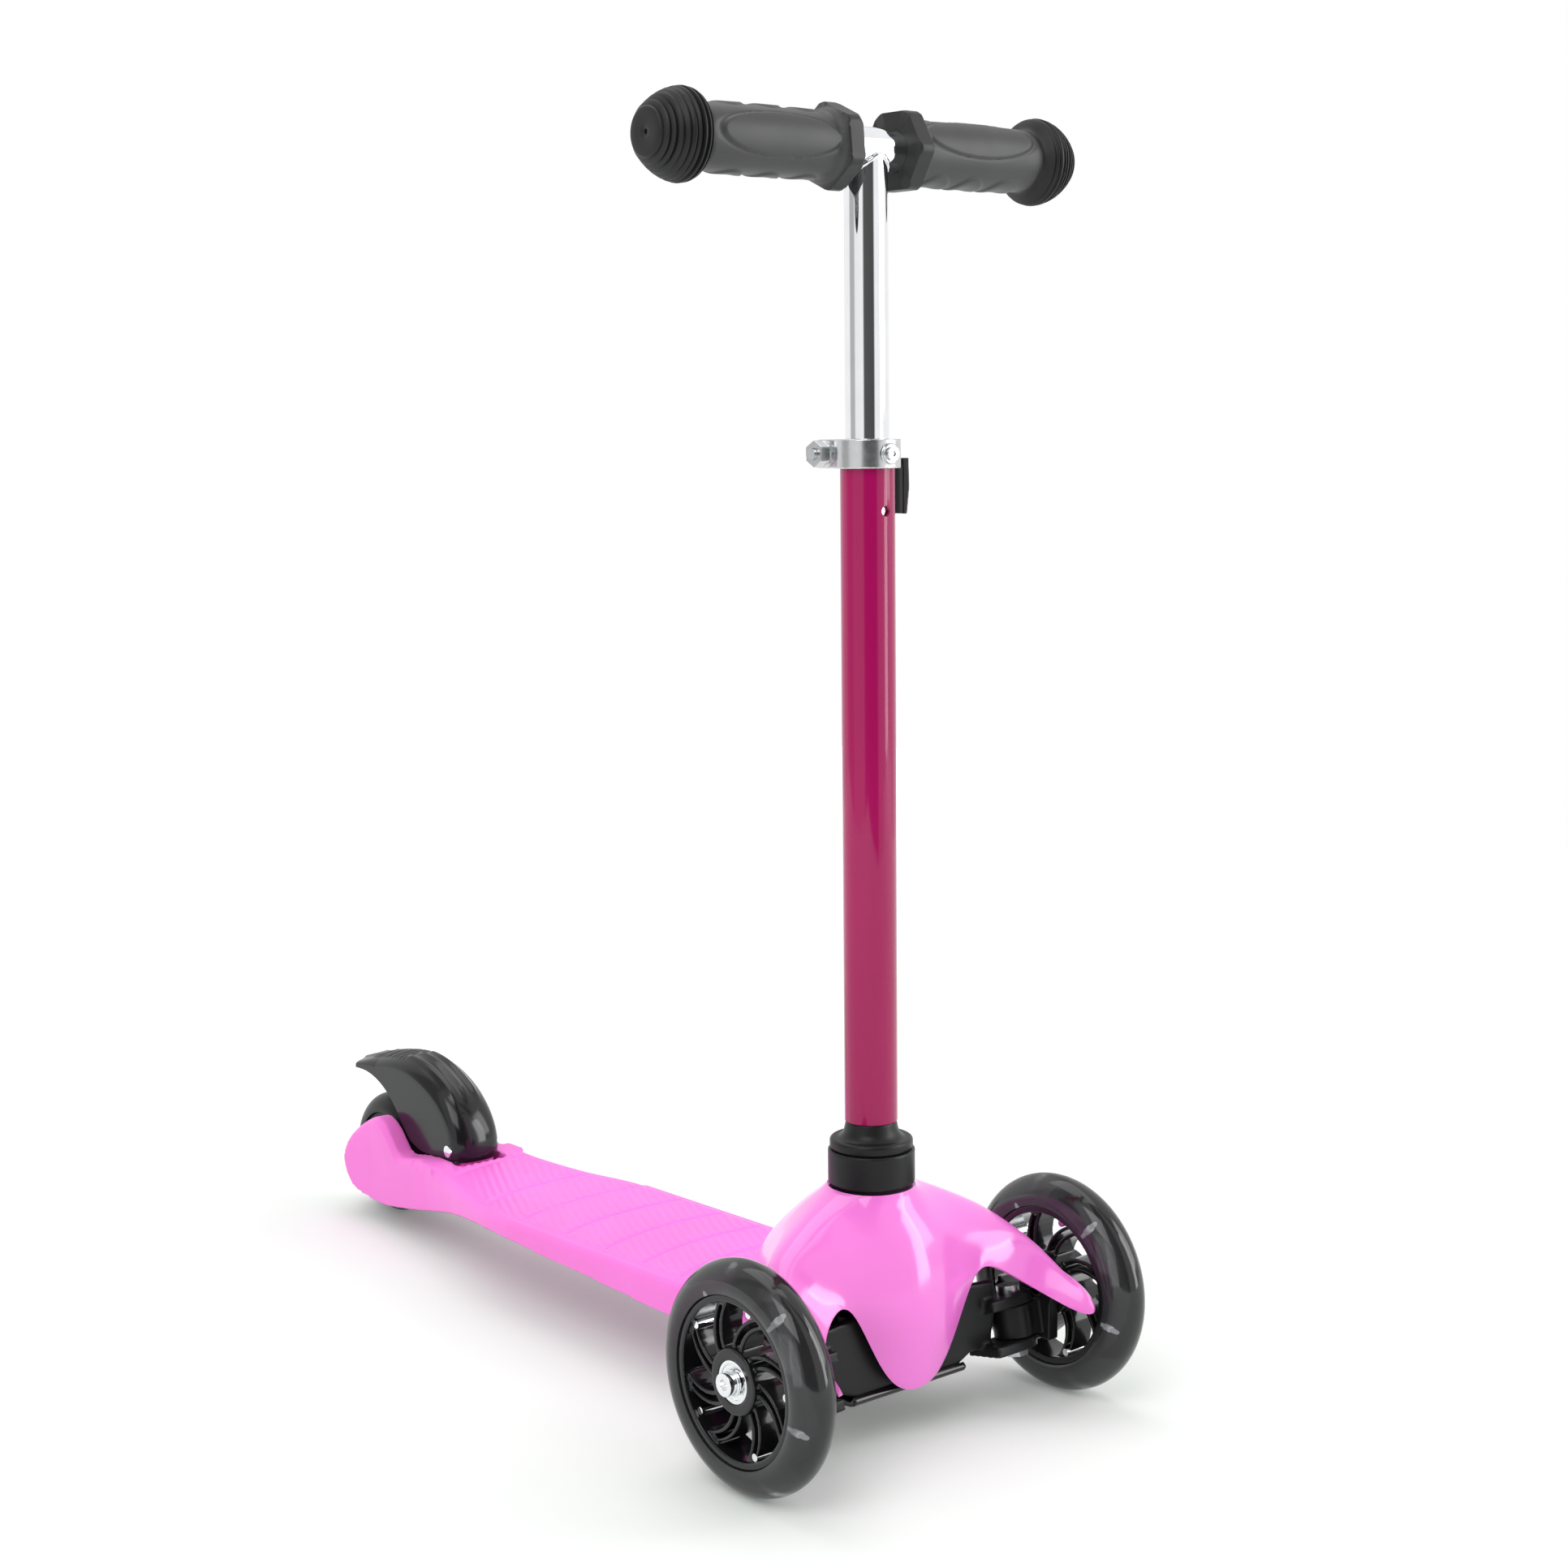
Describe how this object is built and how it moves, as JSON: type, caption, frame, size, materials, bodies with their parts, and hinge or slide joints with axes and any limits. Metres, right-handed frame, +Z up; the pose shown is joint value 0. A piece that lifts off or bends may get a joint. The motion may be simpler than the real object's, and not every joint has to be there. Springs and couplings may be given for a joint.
{
  "type": "kick scooter",
  "caption": "Child's three-wheeled kick scooter with a telescopic T-bar, lean steering, a moulded deck and a rear foot brake.",
  "frame": {"origin": "on the ground, in the middle of the scooter's width and of the wheels' length", "axes": "+Z up, -Y the way the scooter rolls, +X the rider's left, along the wheel axles"},
  "size_m": [0.277, 0.605, 0.6859],
  "materials": {
    "pink_plastic": "glossy moulded plastic",
    "black_plastic": "satin moulded plastic",
    "gloss_black": "glossy moulded plastic",
    "magenta_paint": "glossy enamel",
    "chrome": "mirror plated",
    "alloy": "satin",
    "steel": "zinc plated",
    "nylon": "natural nylon",
    "grip_rubber": "satin moulded rubber",
    "smoke_tyre": "glossy smoke-tinted polyurethane",
    "black_tyre": "satin polyurethane",
    "lamp": "clear lamp capsule",
    "black_rubber": "matte rubber"
  },
  "bodies": {
    "frame": {"deck": "pink_plastic", "hood": "pink_plastic", "chassis": "black_plastic", "chassis_cover": "black_plastic", "socket": "black_plastic", "frame_screws": "steel", "kingpin_left": "steel", "kingpin_right": "steel", "centring_rubbers": "black_rubber", "rear_axle": "steel", "rear_bushes": "black_plastic", "mudguard_pin": "chrome", "mudguard_spring": "steel"},
    "release_button": {"release_button": "black_plastic"},
    "column": {"column_plug": "black_plastic", "lower_tube": "magenta_paint", "tube_bush": "nylon", "clamp_ring": "alloy", "clamp_skewer": "steel", "clamp_nut": "steel", "clamp_washer": "black_plastic", "clamp_screw": "steel", "lever_pin": "steel"},
    "clamp_lever": {"clamp_lever": "gloss_black"},
    "bar": {"mast": "chrome", "mast_foot_ring": "nylon", "crossbar": "chrome", "grip_left": "grip_rubber", "grip_right": "grip_rubber"},
    "snap_button": {"snap_button": "chrome"},
    "knuckle_left": {"knuckle_left": "black_plastic", "king_bush_left": "nylon", "axle_bolt_left": "chrome", "tie_pin_left": "steel"},
    "knuckle_right": {"knuckle_right": "black_plastic", "king_bush_right": "nylon", "axle_bolt_right": "chrome", "tie_pin_right": "steel"},
    "tie_rod": {"tie_rod": "steel"},
    "wheel_left": {"tyre_left": "smoke_tyre", "core_left": "gloss_black", "bearings_left": "chrome", "spacer_left": "steel", "lamps_left": "lamp", "coils_left": "chrome"},
    "wheel_right": {"tyre_right": "smoke_tyre", "core_right": "gloss_black", "bearings_right": "chrome", "spacer_right": "steel", "lamps_right": "lamp", "coils_right": "chrome"},
    "wheel_rear": {"rear_tyre": "black_tyre", "rear_core": "black_plastic", "rear_bearings": "steel", "rear_spacer": "steel"},
    "mudguard": {"mudguard": "gloss_black", "brake_pad": "steel"}
  },
  "joints": [
    {"name": "column_lift", "type": "slide", "parent": "frame", "child": "column", "axis": [0, 0.0157, 0.9999], "range_m": [0, 0.09]},
    {"name": "release_press", "type": "slide", "parent": "frame", "child": "release_button", "axis": [0, -0.9999, 0.0157], "range_m": [0, 0.0025], "stiffness_N_per_m": 600, "springref_m": -0.001},
    {"name": "bar_height", "type": "slide", "parent": "column", "child": "bar", "axis": [0, 0.0157, 0.9999], "range_m": [-0.11, 0]},
    {"name": "snap_press", "type": "slide", "parent": "bar", "child": "snap_button", "axis": [0, 0.9999, -0.0157], "range_m": [0, 0.002], "stiffness_N_per_m": 500, "springref_m": -0.001},
    {"name": "clamp_open", "type": "hinge", "parent": "column", "child": "clamp_lever", "pos_m": [0.016, -0.18395, 0.51251], "axis": [0, -0.9999, 0.0157], "range_deg": [0, 80]},
    {"name": "steer_left", "type": "hinge", "parent": "frame", "child": "knuckle_left", "pos_m": [0.079, -0.2385, 0.044], "axis": [0, 0.2079, 0.9781], "range_deg": [-6.5, 6.5], "stiffness_Nm_per_rad": 3},
    {"name": "steer_right", "type": "hinge", "parent": "frame", "child": "knuckle_right", "pos_m": [-0.079, -0.2385, 0.044], "axis": [0, 0.2079, 0.9781], "range_deg": [-6.5, 6.5]},
    {"name": "tie_rod_swing", "type": "hinge", "parent": "knuckle_left", "child": "tie_rod", "pos_m": [0.079, -0.21111, 0.03818], "axis": [0, 0.2079, 0.9781], "range_deg": [-6.5, 6.5]},
    {"name": "wheel_left_roll", "type": "hinge", "parent": "knuckle_left", "child": "wheel_left", "pos_m": [0.11, -0.2425, 0.06], "axis": [1, 0, 0], "continuous": true},
    {"name": "wheel_right_roll", "type": "hinge", "parent": "knuckle_right", "child": "wheel_right", "pos_m": [-0.11, -0.2425, 0.06], "axis": [1, 0, 0], "continuous": true},
    {"name": "wheel_rear_roll", "type": "hinge", "parent": "frame", "child": "wheel_rear", "pos_m": [0, 0.2625, 0.04], "axis": [1, 0, 0], "continuous": true},
    {"name": "brake_press", "type": "hinge", "parent": "frame", "child": "mudguard", "pos_m": [0, 0.1735, 0.063], "axis": [-1, 0, 0], "range_deg": [0, 5], "stiffness_Nm_per_rad": 1.5, "springref_deg": -5.73}
  ],
  "couplings": [
    {"joint": "steer_right", "follows": "steer_left", "ratio": 1},
    {"joint": "tie_rod_swing", "follows": "steer_left", "ratio": -1}
  ]
}
